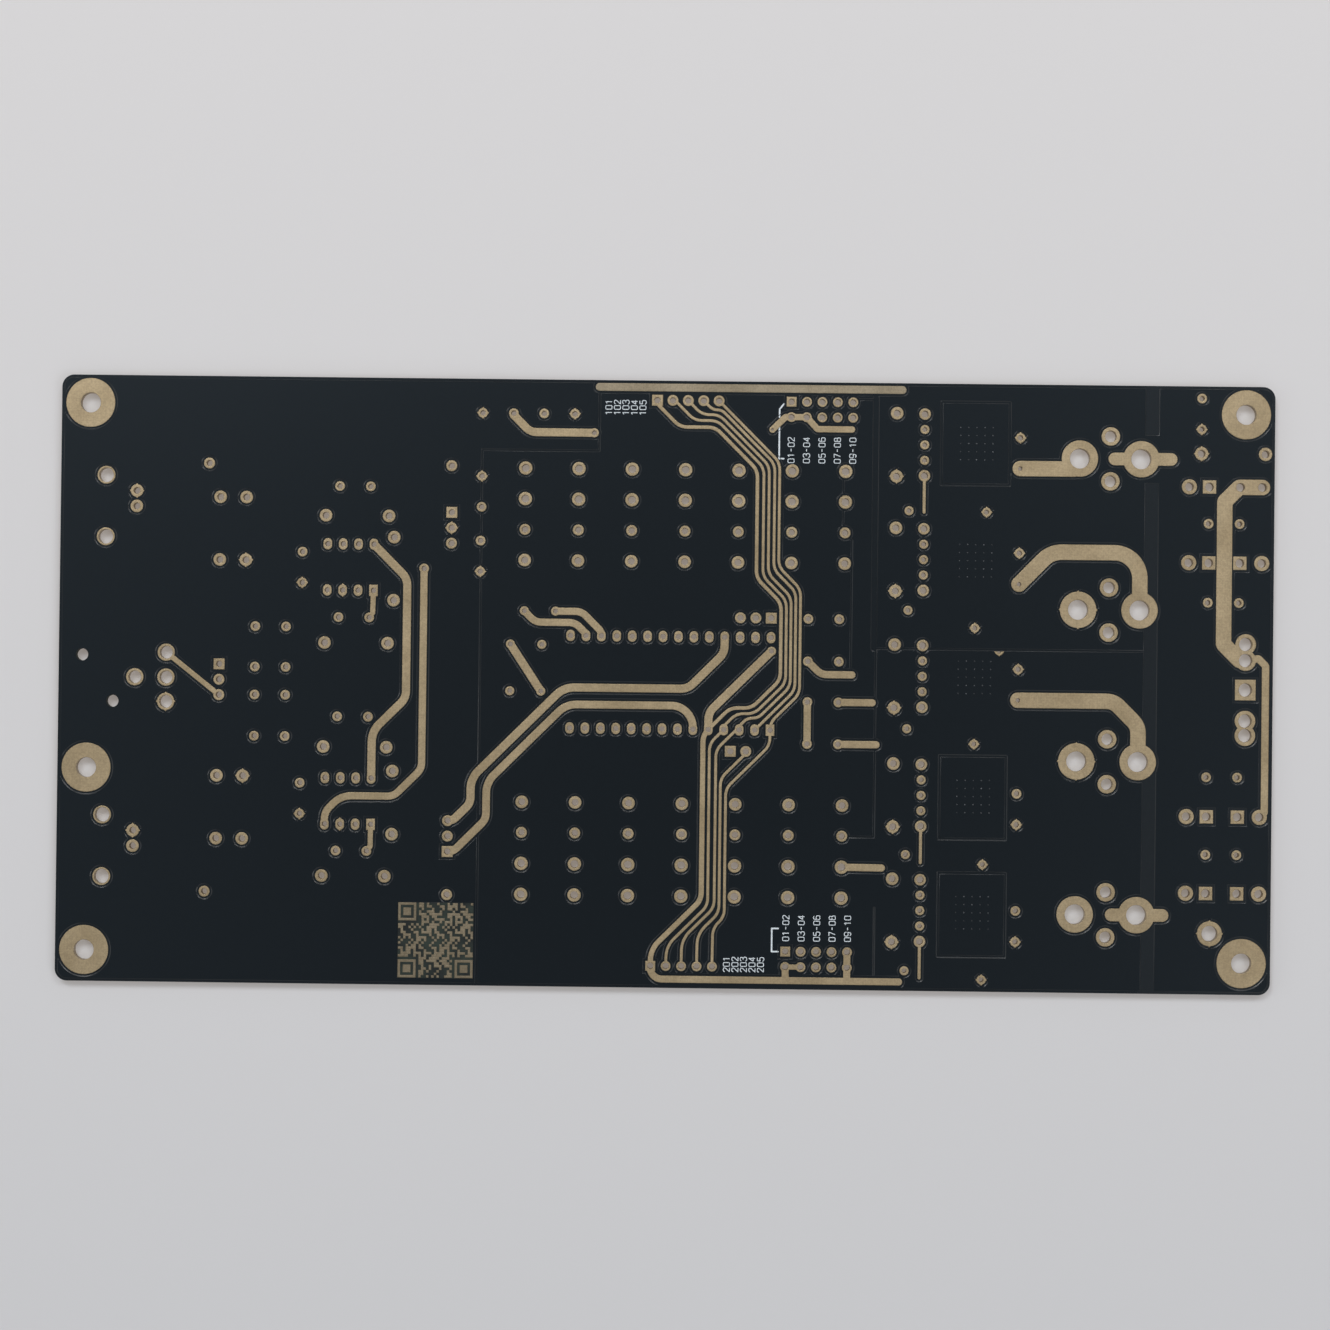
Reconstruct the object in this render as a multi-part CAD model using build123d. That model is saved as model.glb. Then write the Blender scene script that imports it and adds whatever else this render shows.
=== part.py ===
from build123d import *
from dataclasses import dataclass
from math import radians, sqrt, tan
import os

# Millimetres. The printed side of the board faces +Z, its power end is at +X, and it lies on Z = 0
# with its centre over the origin.

# Board and its layers
board_length = 200.0
board_width = 100.0
corner_radius = 2.0
laminate_thickness = 1.4
copper_thickness = 0.07
mask_thickness = 0.03
legend_thickness = 0.02
plating = 0.05

# Gap round each pad in the masks
mask_gap = 0.05

# Standard spacings
pitch = 2.54
dip_8_span = 7.62
dip_28_span = 15.24
resistor_pitch = 5.08
film_pitch = 10.4
radial_pitch = 4.3
column_pitch = 8.79
terminal_pitch = 10.1
prong_pitch = 7.4

# Fixing holes and locating holes
fixing_hole = 3.3
fixing_land = 8.1
fixing_inset_x = 4.75
fixing_inset_top = 4.6
fixing_inset_bottom = 5.15
fixing_offset = 14.8
locating_hole = 2.0

# Plated holes, as the diameter of the pad and that of the hole
VIA = (1.5, 0.75)
RESISTOR = (1.6, 0.85)
PIN = (1.8, 1.0)
SMALL_PIN = (1.62, 1.0)
DIP = (1.42, 0.85)
FILM = (2.08, 1.1)
RADIAL = (2.2, 1.25)
LEAD = (2.5, 1.4)
SQUARE_LEAD = (2.2, 1.4)
CLIP = (2.95, 2.4)
TAB = (2.85, 2.1)
PRONG = (3.05, 1.9)
INLET = (3.4, 2.2)
TERMINAL = (6.0, 3.3)
EARTH = (4.1, 2.6)
FIXING = (fixing_land, fixing_hole)
oval_length = 1.88
spoke_reach = 0.2
track_via = 0.7
small_via = 0.45

# Tracks
bus_width = 0.46
ground_bus_width = 0.58
stub_width = 0.5
thin_width = 0.85
header_width = 1.05
signal_width = 1.2
analogue_width = 1.35
right_width = 1.27
strip_width = 1.3
return_width = 1.15
power_width = 2.55
wing_width = 2.1
upper_wings = (5.4, 5.95)
lower_wings = (5.15, 5.3)

# Bends of the tracks, and the share that a bend may take of a run that ends in a pad, and of one
# that ends in another bend
bus_bend = 2.9
header_bend = 4.4
signal_bend = 2.4
analogue_bend = 2.8
wide_bend = 4.2
quarter_bend = 3.6
sharp_bend = 0.4
end_share = 0.95
inner_share = 0.49

# Edges of the pour under the mask
pour_gap = 0.45
pour_inset = 0.5
spoke_width = 0.5
groove_width = 0.42
box_groove_width = 0.5
inner_edge = 181.0

# Code patch and legend
patch_modules = 29
patch_size = 12.38
patch_gap = 0.02
finder_modules = 7
finder_ring = 1
finder_core = 3
bracket_width = 0.25

# Heights of the layers
film_thickness = copper_thickness + mask_thickness
laminate_top = film_thickness + laminate_thickness
back_copper = film_thickness - copper_thickness
film_top = laminate_top + mask_thickness
pour_top = laminate_top + film_thickness

# Places are given in steps of a grid of 200 by 100 that spans the board, from its lower left corner.
step_x = board_length / 200
step_y = board_width / 100


def spot(u, v):
    """A place on the board, from its steps across and up."""
    return Vector((u - 100) * step_x, (v - 50) * step_y)


def right(distance):
    return Vector(distance, 0)


def up(distance):
    return Vector(0, distance)


def at(place, shape):
    return Pos(place.X, place.Y) * shape


def pad_face(diameter, shape, grow=0.0):
    """A pad in plan. A spoked one has the tips of the spokes that join it to the pour."""
    radius = diameter / 2 + grow
    if shape == "square":
        return Rectangle(2 * radius, 2 * radius)
    if shape == "oblong":
        return Rectangle(2 * radius, oval_length + 2 * grow)
    if shape == "oval":
        return SlotCenterToCenter(oval_length - diameter, 2 * radius, rotation=90)
    if shape == "spoked":
        return Circle(radius) + spoke_tips(radius)
    if shape == "spoked oval":
        middle = (oval_length - diameter) / 2
        ends = Sketch() + [Pos(0, side * middle) * spoke_tips(radius) for side in (-1, 1)]
        upright_tips = ends & Rectangle(2 * radius, 2 * oval_length)
        return pad_face(diameter, "oval", grow) + upright_tips
    return Circle(radius)


def spoke_tips(radius):
    """A square on its corner, a little wider than the round pad under it."""
    side = sqrt(2) * (radius + spoke_reach)
    return Rectangle(side, side, rotation=45)


@dataclass
class Pad:
    """A plated hole with the same pad on both faces of the board."""

    place: Vector
    size: tuple
    shape: str = "round"

    def face(self, grow=0.0):
        return at(self.place, pad_face(self.size[0], self.shape, grow))

    def bore(self, grow=0.0):
        return at(self.place, Circle(self.size[1] / 2 + grow))

    def clearance(self):
        """The gap to the pour. Four spokes cross it where the pad is spoked."""
        plain_shape = {"spoked": "round", "spoked oval": "oval"}.get(self.shape, self.shape)
        gap = pad_face(self.size[0], plain_shape, pour_gap)
        if self.shape != plain_shape:
            reach = max(self.size[0], oval_length) + 2 * pour_gap
            gap = gap - Rectangle(reach, spoke_width) - Rectangle(spoke_width, reach)
        return at(self.place, gap)


@dataclass
class Track:
    """A strip of bare copper with round ends, along a line with round bends."""

    width: float
    places: list
    bend: float | tuple

    def radii(self):
        """The radius of each bend. It is smaller than asked where the runs beside it are short."""
        runs = [after - before for before, after in zip(self.places, self.places[1:])]
        shares = [end_share, *[inner_share] * (len(runs) - 2), end_share]
        rooms = [run.length * share for run, share in zip(runs, shares)]
        wanted = self.bend if isinstance(self.bend, tuple) else (self.bend,) * (len(runs) - 1)
        radii = []
        for i, radius in enumerate(wanted):
            turn = runs[i].get_angle(runs[i + 1])
            radii.append(min(radius, min(rooms[i : i + 2]) / tan(radians(turn / 2))))
        return radii

    def face(self, grow=0.0):
        if self.bend and len(self.places) > 2:
            line = FilletPolyline(*self.places, radius=self.radii())
        else:
            line = Polyline(*self.places)
        return Face(line.offset_2d(self.width / 2 + grow, kind=Kind.ARC))


def route(width, *stops, bend=signal_bend):
    """A track from stop to stop, each a pad or a spot in steps of the grid."""
    places = [stop.place if isinstance(stop, Pad) else spot(*stop) for stop in stops]
    return Track(width, places, bend)


def straight(width, start, run):
    """A track that runs straight on from a pad."""
    return Track(width, [start.place, start.place + run], 0.0)


# ---- Footprints: the pads of one component, or of a row of them ----


def row(start, count, size, step, shape="round", first=None):
    """Pads in a line, where pin 1 may have a shape of its own."""
    pads = [Pad(start + step * i, size, shape) for i in range(count)]
    if first:
        pads[0].shape = first
    return pads


def header(start, count, step, size=PIN):
    return row(start, count, size, step, "round", "square")


def across(start, size=RESISTOR, span=resistor_pitch, first="round", last="round"):
    """The two pads of a part that lies along the board."""
    return [Pad(start, size, first), Pad(start + right(span), size, last)]


def along(start, size=RESISTOR, span=resistor_pitch, first="round", last="round"):
    """The two pads of a part that lies across the board, the second below the first."""
    return [Pad(start, size, first), Pad(start - up(span), size, last)]


def coaxial_socket(centre):
    """Two clips, and a signal pin with its ground pin above it."""
    clips = [Pad(centre + up(side * 2 * pitch), CLIP) for side in (1, -1)]
    signal = Pad(centre + right(2 * pitch), FILM)
    ground = Pad(centre + right(2 * pitch) + up(pitch), FILM, "spoked")
    return [*clips, signal, ground]


def two_rows(corner, count, span):
    """The pins of a dual in-line socket, each row from left to right. Pin 1 ends the lower row."""
    upper = row(corner, count, DIP, right(pitch), "oval")
    lower = row(corner - up(span), count, DIP, right(pitch), "oval")
    lower[-1].shape = "oblong"
    return upper, lower


def output_terminal(centre):
    """Two wide lands side by side, and two prongs above and below the middle."""
    lands = [Pad(centre + right(side * terminal_pitch / 2), TERMINAL) for side in (-1, 1)]
    prongs = [Pad(centre + up(side * prong_pitch / 2), PRONG) for side in (1, -1)]
    return lands, prongs


def rectifier_row(v):
    """Two diodes in line, with their square pads towards each other."""
    return [
        Pad(spot(186.0, v), LEAD),
        Pad(spot(189.3, v), SQUARE_LEAD, "square"),
        Pad(spot(194.4, v), SQUARE_LEAD, "square"),
        Pad(spot(198.0, v), LEAD),
    ]


def without(pads, joined):
    """The pads of a footprint that no track joins."""
    return [pad for pad in pads if not any(pad is other for other in joined)]


# ---- Groups of copper, each as {node: (pads, tracks)} ----


def fixing_copper():
    """Wide lands for the screws at the corners and at the middle of the left edge."""
    left = -board_length / 2 + fixing_inset_x
    top = board_width / 2 - fixing_inset_top
    bottom = -board_width / 2 + fixing_inset_bottom
    places = [Vector(x, y) for x in (left, -left) for y in (top, bottom)]
    places.append(Vector(left, -fixing_offset))
    return {"fixing_hole_lands": ([Pad(place, FIXING) for place in places], [])}


def input_copper():
    """Two coaxial sockets, a phono socket and a three-pin selector at the left edge."""
    coaxial = coaxial_socket(spot(7.5, 78.4)) + coaxial_socket(spot(7.5, 22.35))
    sleeve = Pad(spot(12.6, 50.2), TAB)
    tip = Pad(spot(17.75, 50.2), TAB)
    signal = Pad(spot(17.75, 54.3), TAB)
    ground = Pad(spot(17.75, 46.2), TAB, "spoked")
    selector = header(spot(26.5, 52.48), 3, up(-pitch))
    link = route(thin_width, signal, selector[2])
    return {
        "coaxial_socket_pads": (coaxial, []),
        "phono_socket_pads": ([sleeve, tip, ground], []),
        "selector_header_pads": (selector[:2], []),
        "phono_link_track": ([signal, selector[2]], [link]),
    }


def coupling_copper():
    """Coupling capacitors, test points and resistors between the inputs and the amplifiers."""
    capacitors = []
    for u, v, first, last in (
        (26.4, 80.05, "round", "round"),
        (26.4, 69.7, "round", "spoked"),
        (26.3, 34.1, "round", "spoked"),
        (26.3, 23.75, "round", "round"),
    ):
        capacitors += across(spot(u, v), FILM, radial_pitch, first, last)
    points = [Pad(spot(24.5, v), PIN) for v in (85.6, 15.0)]
    points += [Pad(spot(64.5, v), PIN) for v in (85.6, 14.9)]
    resistors = []
    for v in (58.77, 52.1, 47.5, 40.7):
        resistors += across(spot(32.4, v))
    for v in (71.15, 33.05):
        resistors += along(spot(40.05, v), last="spoked")
    return {
        "coupling_capacitor_pads": (capacitors, []),
        "test_point_pads": (points, []),
        "input_resistor_pads": (resistors, []),
    }


def amplifier_copper():
    """Two eight-pin sockets with their film capacitors and resistors, and the tracks that join them."""
    upper_row, upper_pins = two_rows(spot(44.2, 72.5), 4, dip_8_span)
    lower_row, lower_pins = two_rows(spot(44.2, 33.94), 4, dip_8_span)
    upper_pins[1].shape = "spoked oval"
    lower_pins[1].shape = "spoked oval"
    feedback = [across(spot(46.1, v)) for v in (82.05, 60.42, 44.05, 21.93)]
    film = across(spot(43.85, 77.2), FILM, film_pitch) + across(spot(43.85, 56.2), FILM, film_pitch)
    film += across(spot(43.85, 39.05), FILM, film_pitch) + across(spot(43.8, 17.8), FILM, film_pitch)
    film += along(spot(55.15, 73.7), FILM, film_pitch) + along(spot(55.3, 35.15), FILM, film_pitch)
    supply_ends = [upper_row[3], lower_row[3]]
    supply = route(
        analogue_width,
        upper_row[3],
        (57.4, 66.9),
        (57.4, 47.2),
        (51.85, 41.65),
        lower_row[3],
        bend=(analogue_bend, analogue_bend, wide_bend),
    )
    reference = [Pad(spot(60.15, 68.6), RESISTOR), lower_pins[0]]
    bias = route(
        signal_width,
        reference[0],
        (60.12, 35.57),
        (55.55, 31.0),
        (46.9, 31.0),
        (44.2, 28.3),
        lower_pins[0],
        bend=(signal_bend, signal_bend, wide_bend, analogue_bend),
    )
    stub_ends = [upper_pins[3], feedback[1][1], lower_pins[3], feedback[3][1]]
    stubs = [
        route(thin_width, upper_pins[3], (51.75, 61.2), feedback[1][1], bend=sharp_bend),
        route(thin_width, lower_pins[3], (51.8, 22.7), feedback[3][1], bend=sharp_bend),
    ]
    joined = supply_ends + reference + stub_ends
    sockets = upper_row + upper_pins + lower_row + lower_pins
    return {
        "amplifier_socket_pads": (without(sockets, joined), []),
        "amplifier_film_capacitor_pads": (film, []),
        "feedback_resistor_pads": (without(sum(feedback, []), joined), []),
        "amplifier_supply_track": (supply_ends, [supply]),
        "amplifier_bias_track": (reference, [bias]),
        "feedback_stub_tracks": (stub_ends, stubs),
    }


CHANNEL_UPPER = header(spot(64.6, 77.9), 3, up(-pitch))
CHANNEL_LOWER = header(spot(64.5, 22.0), 3, up(pitch))
CHANNEL_UPPER[1].shape = "spoked"
CONVERTER_UPPER, CONVERTER_LOWER = two_rows(spot(84.42, 57.83), 14, dip_28_span)


def filter_copper():
    """The resistors of the output filter, left of the converter and above it."""
    pads = along(spot(69.5, 83.95), first="spoked") + along(spot(69.4, 73.3), last="spoked")
    upper_left = across(spot(69.55, 94.38), first="spoked")
    upper_right = across(spot(79.65, 94.38), last="spoked")
    corner = Pad(spot(87.95, 91.28), VIA)
    top = route(analogue_width, (74.6, 94.1), (77.4, 91.3), corner)
    bridge = [Pad(spot(74.52, 56.3), VIA), Pad(spot(79.62, 48.6), VIA)]
    others = [Pad(spot(79.7, 56.3), VIA), Pad(spot(74.5, 48.6), VIA)]
    return {
        "filter_resistor_pads": (pads + [upper_left[0]] + upper_right + others, []),
        "filter_supply_track": ([upper_left[1], corner], [top]),
        "filter_bridge_track": (bridge, [route(analogue_width, *bridge)]),
    }


def converter_copper():
    """The 28-pin socket's free pins, the analogue tracks to the lower channel header, and the clock."""
    left_end = [CONVERTER_UPPER[10], CHANNEL_LOWER[2]]
    left_track = route(
        analogue_width,
        CONVERTER_UPPER[10],
        (109.8, 55.22),
        (103.84, 49.26),
        (83.42, 49.26),
        (68.24, 34.08),
        (68.24, 30.02),
        (65.3, 27.08),
        CHANNEL_LOWER[2],
        bend=(analogue_bend, analogue_bend, wide_bend, wide_bend, signal_bend, signal_bend),
    )
    right_end = [CONVERTER_LOWER[8], CHANNEL_LOWER[0]]
    right_track = route(
        right_width,
        CONVERTER_LOWER[8],
        (104.74, 46.47),
        (83.82, 46.47),
        (70.83, 33.48),
        (70.83, 27.39),
        (65.44, 22.0),
        CHANNEL_LOWER[0],
        bend=(quarter_bend, wide_bend, wide_bend, signal_bend, analogue_bend),
    )
    clock = [Pad(spot(76.75, 61.8), VIA), Pad(spot(81.9, 61.8), VIA)]
    clock_ends = [clock[0], CONVERTER_UPPER[1], clock[1], CONVERTER_UPPER[2]]
    clock_tracks = [
        route(signal_width, clock[0], (78.55, 59.96), (85.15, 59.96), (87.0, 58.1)),
        route(signal_width, clock[1], (86.2, 61.8), (89.5, 58.5), CONVERTER_UPPER[2]),
    ]
    bus_pins = CONVERTER_LOWER[9:]
    joined = left_end + right_end + clock_ends + bus_pins
    return {
        "converter_socket_pads": (without(CONVERTER_UPPER + CONVERTER_LOWER, joined), []),
        "left_output_track": (left_end, [left_track]),
        "right_output_track": (right_end, [right_track]),
        "clock_tracks": (clock_ends, clock_tracks),
        "channel_header_pads": (CHANNEL_UPPER + [CHANNEL_LOWER[1]], []),
    }


def decoupling_copper():
    """Seven columns of decoupling capacitors above the converter and seven below it."""
    pads = []
    for column in range(7):
        start = 76.7 + column * column_pitch
        for v, size in ((85.35, RADIAL), (80.3, RADIAL), (75.23, PIN), (70.17, FILM)):
            pads.append(Pad(spot(start, v), size))
        for v, size in ((30.33, FILM), (25.3, PIN), (20.2, RADIAL), (15.1, RADIAL)):
            pads.append(Pad(spot(start, v), size))
    tied = pads[-2]
    return {
        "decoupling_capacitor_pads": (without(pads, [tied]), []),
        "decoupling_stub_track": ([tied], [route(signal_width, tied, (136.0, 20.15))]),
    }


def bus_copper():
    """Five bus lines from the upper header, by the converter, to the lower header."""
    upper = header(spot(98.3, 96.77), 5, right(pitch))
    lower = header(spot(98.17, 3.6), 5, right(pitch), SMALL_PIN)
    jumper = header(spot(110.95, 39.05), 2, right(pitch))
    option = header(spot(117.45, 61.05), 3, right(-pitch))
    pins = CONVERTER_LOWER
    ground_via = Pad(spot(117.55, 55.6), VIA)
    first, second = bus_header(spot(120.35, 6.22))
    ground_pads = [upper[0], pins[9], lower[0], ground_via, *second[:2], first[4], second[4]]
    ground = route(
        ground_bus_width,
        upper[0],
        (98.3, 96.15),
        (102.05, 92.4),
        (107.9, 92.4),
        (114.92, 85.38),
        (114.92, 67.65),
        (119.05, 63.52),
        (119.05, 50.9),
        (114.35, 46.2),
        (110.85, 46.2),
        pins[9],
        bend=bus_bend,
    )
    ground_tracks = [
        ground,
        bus_below(thin_width, pins[9], (106.43, 41.7), (106.43, 14.55), (98.2, 6.32), lower[0]),
        route(analogue_width, ground_via, (107.3, 45.4), pins[9], bend=analogue_bend),
        route(return_width, lower[0], (98.17, 1.45), (139.05, 1.45), bend=1.9),
        route(return_width, second[0], (120.4, 1.45)),
        route(thin_width, second[0], second[1]),
        route(return_width, first[4], (130.5, 1.45)),
    ]
    clock = bus_line(
        (101.2, 96.75),
        (104.45, 93.5),
        (108.25, 93.5),
        (115.98, 85.77),
        (115.98, 67.9),
        (119.92, 63.96),
        (119.92, 50.37),
        (114.82, 45.27),
        (111.9, 45.27),
        (109.82, 43.19),
        pins[10],
    )
    clock_below = bus_below(bus_width, pins[10], (107.5, 40.3), (107.5, 13.6), (100.77, 6.87), lower[1])
    data = bus_line(
        upper[2],
        (105.65, 94.48),
        (108.5, 94.48),
        (116.86, 86.12),
        (116.86, 68.35),
        (120.69, 64.52),
        (120.69, 49.8),
        (115.45, 44.56),
        (113.7, 44.56),
        (112.36, 43.22),
        pins[11],
    )
    data_below = bus_below(
        bus_width, (111.9, 42.6), (108.57, 39.27), (108.57, 13.3), (103.3, 8.03), lower[2]
    )
    frame = bus_line(
        upper[3],
        (107.45, 95.28),
        (108.92, 95.28),
        (117.77, 86.43),
        (117.77, 69.05),
        (121.46, 65.36),
        (121.46, 49.17),
        pins[12],
    )
    frame_below = bus_below(
        bus_width, (113.45, 38.65), (109.37, 34.57), (109.37, 12.45), (105.84, 8.92), lower[3]
    )
    bit = bus_line(
        upper[4],
        (118.57, 86.7),
        (118.57, 69.52),
        (122.23, 65.86),
        (122.23, 48.63),
        (117.45, 43.85),
        pins[13],
    )
    bit_below = bus_below(
        bus_width, pins[13], (117.45, 40.09), (110.25, 32.89), (110.25, 11.8), (108.38, 9.93), lower[4]
    )
    return {
        "ground_bus_track": (ground_pads, ground_tracks),
        "system_clock_track": ([upper[1], pins[10], lower[1]], [clock, clock_below]),
        "data_track": ([upper[2], pins[11], lower[2]], [data, data_below]),
        "frame_clock_tracks": ([upper[3], pins[12], jumper[1], lower[3]], [frame, frame_below]),
        "bit_clock_track": ([upper[4], pins[13], lower[4]], [bit, bit_below]),
        "option_header_pads": (option + [jumper[0]], []),
        "lower_bus_header_pads": (without(first + second, ground_pads), []),
    }


def bus_line(*stops):
    return route(bus_width, *stops, bend=bus_bend)


def bus_below(width, *stops):
    """A bus line from the converter to the lower header, which it meets in a wider bend."""
    return route(width, *stops, bend=(bus_bend,) * (len(stops) - 3) + (header_bend,))


def bus_header(corner):
    """Two rows of five pins, from left to right, with pin 1 at the upper left corner."""
    first = header(corner, 5, right(pitch), SMALL_PIN)
    second = row(corner - up(pitch), 5, SMALL_PIN, right(pitch))
    return first, second


def upper_bus_copper():
    """The two rows of the upper bus header, its ground track, and the ground strip along the edge."""
    first, second = bus_header(spot(120.4, 96.76))
    corner = Pad(spot(117.3, 92.12), (header_width, small_via))
    ends = [corner, second[0], second[1]]
    tracks = [
        route(header_width, corner, (119.42, 94.22), second[1], bend=sharp_bend),
        route(header_width, second[1], (124.7, 92.28), (130.4, 92.28), bend=sharp_bend),
    ]
    strip = route(strip_width, (88.75, 98.88), (138.65, 98.88))
    return {
        "upper_bus_header_pads": (without(first + second, ends), []),
        "header_ground_track": (ends, tracks),
        "edge_ground_strip": ([], [strip]),
    }


def supply_copper():
    """Resistors and short tracks between the converter and the regulators."""
    rows = [across(spot(123.55, v), span=5.1) for v in (61.0, 54.0, 47.3, 40.4)]
    ends = [rows[1][0], rows[2][0], rows[3][0], rows[2][1], rows[3][1]]
    tracks = [
        route(signal_width, rows[1][0], (125.75, 51.85), (130.8, 51.85)),
        route(signal_width, rows[2][0], rows[3][0]),
        route(signal_width, rows[2][1], (134.2, 47.3)),
        route(signal_width, rows[3][1], (134.9, 40.4)),
    ]
    return {
        "supply_resistor_pads": (without(sum(rows, []), ends), []),
        "supply_tracks": (ends, tracks),
    }


def regulator_copper():
    """Five regulators of five pins, each with its film capacitor and its resistors."""
    regulators, stub_pads, stubs, film, bypass = [], [], [], [], []
    for number, v in enumerate((94.95, 76.05, 56.83, 37.25, 18.3)):
        pins = row(spot(142.4, v), 5, VIA, up(-pitch))
        pins[0].size = pins[-1].size = (1.9, 1.1)
        if number in (0, 3, 4):
            stub_pads.append(pins.pop())
            stubs.append(straight(stub_width, stub_pads[-1], up(-6.0)))
        regulators += pins
        film += along(spot(137.8, v + 0.1), FILM, film_pitch, last="spoked")
    for v in (79.0, 62.6, 43.1, 22.4, 3.3):
        bypass.append(Pad(spot(139.93, v), VIA))
    load = [Pad(spot(u, v), VIA, "spoked") for u, v in ((152.7, 78.9), (150.95, 59.8), (151.0, 40.7))]
    load += [Pad(spot(152.6, v), VIA, "spoked") for v in (20.9, 1.95)]
    for v in (32.6, 13.35):
        load += along(spot(158.1, v), last="spoked")
    return {
        "regulator_pads": (regulators, []),
        "regulator_stub_tracks": (stub_pads, stubs),
        "regulator_film_capacitor_pads": (film, []),
        "bypass_pads": (bypass, []),
        "load_resistor_pads": (load, []),
    }


def output_copper():
    """Four output terminals with their wide tracks. The first and the last have a winged shield land."""
    places = [spot(173.0, 87.9), spot(172.95, 63.0), spot(172.9, 38.05), spot(172.9, 12.9)]
    terminals = [output_terminal(place) for place in places]
    first, second, third, fourth = [lands for lands, _ in terminals]
    prongs = [prong for _, pair in terminals for prong in pair]
    feeds = [Pad(spot(158.15, v), (power_width, track_via)) for v in (86.15, 67.1, 48.0)]
    grounds = [Pad(spot(158.15, v), RESISTOR, "spoked") for v in (91.2, 72.2, 53.08)]
    second[0].shape = "spoked"
    third[0].shape = "spoked"
    tracks = [
        route(power_width, feeds[0], (167.0, 86.15)),
        route(power_width, feeds[1], (163.35, 72.45), (178.0, 72.45), second[1], bend=wide_bend),
        route(power_width, feeds[2], (173.9, 48.0), (177.95, 43.95), third[1], bend=analogue_bend),
    ]
    wings = [wing(first[1], upper_wings), wing(fourth[1], lower_wings)]
    return {
        "output_tracks": (feeds + [first[0], second[1], third[1]], tracks),
        "shield_lands": ([first[1], fourth[1]], wings),
        "output_terminal_lands": ([second[0], third[0], fourth[0]], []),
        "terminal_prong_pads": (prongs, []),
        "output_resistor_pads": (grounds, []),
    }


def wing(land, reach):
    """The two arms of a shield land, as one track across it."""
    inner, outer = reach
    places = [land.place - right(inner - wing_width / 2), land.place + right(outer - wing_width / 2)]
    return Track(wing_width, places, 0.0)


def power_copper():
    """Eight rectifier diodes in four rows, the power inlet, and the tracks between them."""
    rows = [rectifier_row(v) for v in (83.45, 70.95, 29.2, 16.6)]
    snubbers = []
    for v in (77.4, 64.4, 35.7, 22.95):
        snubbers += across(spot(189.2, v), span=5.1)
    live = [Pad(spot(195.5, v), INLET) for v in (57.6, 54.95)]
    others = [Pad(spot(195.5, 50.1), INLET, "square")]
    others += [Pad(spot(195.5, v), INLET) for v in (45.0, 42.6)]
    supply = route(
        power_width,
        rows[0][3],
        (194.2, 83.45),
        (191.85, 81.1),
        (191.85, 57.6),
        (194.5, 54.95),
        live[1],
        bend=sharp_bend,
    )
    side = route(
        signal_width, live[1], (197.6, 55.3), (198.8, 54.1), (198.8, 30.0), rows[2][3], bend=sharp_bend
    )
    power_ends = [*rows[0][2:], *live, rows[2][3]]
    rows[0][2].shape = "round"
    upper = along(spot(187.95, 98.0), last="spoked")
    upper += across(spot(187.95, 88.92), RADIAL, 10.5, "spoked")
    return {
        "rectifier_pads": (without(sum(rows, []), power_ends), []),
        "snubber_pads": (snubbers, []),
        "power_track": (power_ends, [supply, side]),
        "inlet_pads": (others, []),
        "inlet_filter_pads": (upper, []),
        "earth_pad": ([Pad(spot(190.0, 10.0), EARTH, "spoked")], []),
    }


def all_copper():
    groups = [
        fixing_copper(),
        input_copper(),
        coupling_copper(),
        amplifier_copper(),
        filter_copper(),
        converter_copper(),
        decoupling_copper(),
        bus_copper(),
        upper_bus_copper(),
        supply_copper(),
        regulator_copper(),
        output_copper(),
        power_copper(),
    ]
    return {name: copper for group in groups for name, copper in group.items()}


# ---- Solids ----


def copper_solids(pads, tracks):
    """Plated holes with the tracks that join them, as one solid for each connected set."""
    bores = [pad.bore() for pad in pads]
    walls = [pad.bore(plating) for pad in pads]
    pad_faces = [pad.face() for pad in pads]
    front = Sketch() + pad_faces + [track.face() for track in tracks]
    layers = [Pos(0, 0, laminate_top) * extrude(front - bores, copper_thickness)]
    if pads:
        back = Sketch() + pad_faces - bores
        barrels = Sketch() + walls - bores
        layers.append(Pos(0, 0, back_copper) * extrude(back, copper_thickness))
        layers.append(Pos(0, 0, film_thickness) * extrude(barrels, laminate_thickness))
    return Part() + layers


def keep_large(sketch, least):
    """The faces of a sketch without its slivers."""
    return [face for face in sketch.faces() if face.area > least]


def outline(inset=0.0):
    return RectangleRounded(board_length - 2 * inset, board_width - 2 * inset, corner_radius - inset)


def locating_holes(grow=0.0):
    """Two bare holes for the pegs of the phono socket."""
    return [at(spot(u, v), Circle(locating_hole / 2 + grow)) for u, v in ((3.85, 53.8), (8.95, 46.2))]


def strip(left, bottom, right_side, top):
    """An upright rectangle between two spots of the grid."""
    low, high = spot(left, bottom), spot(right_side, top)
    return at((low + high) / 2, Rectangle(high.X - low.X, high.Y - low.Y))


def box_groove(left, bottom, right_side, top):
    """A rectangular groove round the heat spreader of one regulator."""
    low, high = spot(left, bottom), spot(right_side, top)
    size = high - low
    outer = RectangleRounded(size.X + box_groove_width, size.Y + box_groove_width, box_groove_width / 2)
    inner = Rectangle(size.X - box_groove_width, size.Y - box_groove_width)
    return at((low + high) / 2, outer - inner)


def groove(*stops, width=groove_width):
    return route(width, *stops, bend=0.0).face()


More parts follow.
